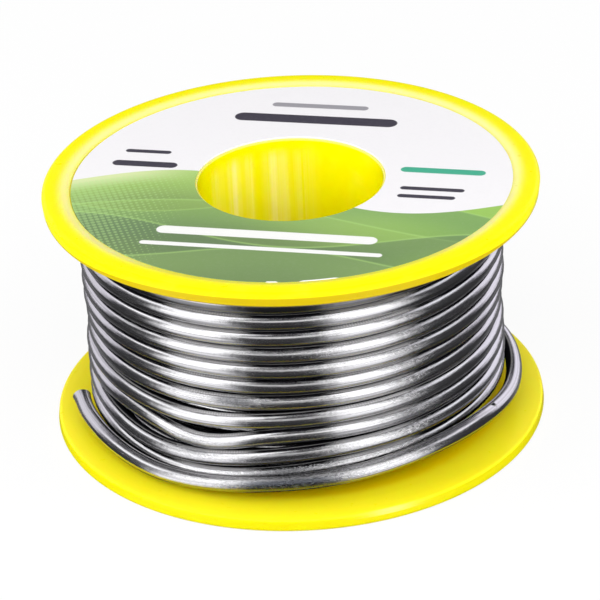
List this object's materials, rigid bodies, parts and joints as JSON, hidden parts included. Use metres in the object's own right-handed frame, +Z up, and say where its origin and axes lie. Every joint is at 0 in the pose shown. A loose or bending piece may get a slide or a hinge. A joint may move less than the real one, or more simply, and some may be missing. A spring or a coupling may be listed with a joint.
{
  "type": "solder wire reel",
  "caption": "Small plastic reel with a wide spindle bore, wound with flux-cored solder wire whose loose end lies round the front of the lower flange.",
  "frame": {"origin": "centre of the lower rim's resting face, on the reel's axis", "axes": "+Z up along the reel's axis, -Y towards the viewer of the picture, +X to the viewer's right; the wire's cut end is at -X"},
  "size_m": [0.0608, 0.0608, 0.0316],
  "materials": {
    "reel_plastic": "glossy moulded yellow styrene",
    "label_paper": "coated paper, white with a green print",
    "solder": "bright drawn tin-lead wire with fine draw lines and dull scuffs",
    "flux": "clear amber rosin"
  },
  "bodies": {
    "root": {"lower_reel_half": "reel_plastic", "upper_reel_half": "reel_plastic", "lower_label": "label_paper", "upper_label": "label_paper", "solder_inner_layers": "solder", "solder_outer_layer": "solder", "solder_tail": "solder", "flux_core": "flux"}
  },
  "joints": []
}
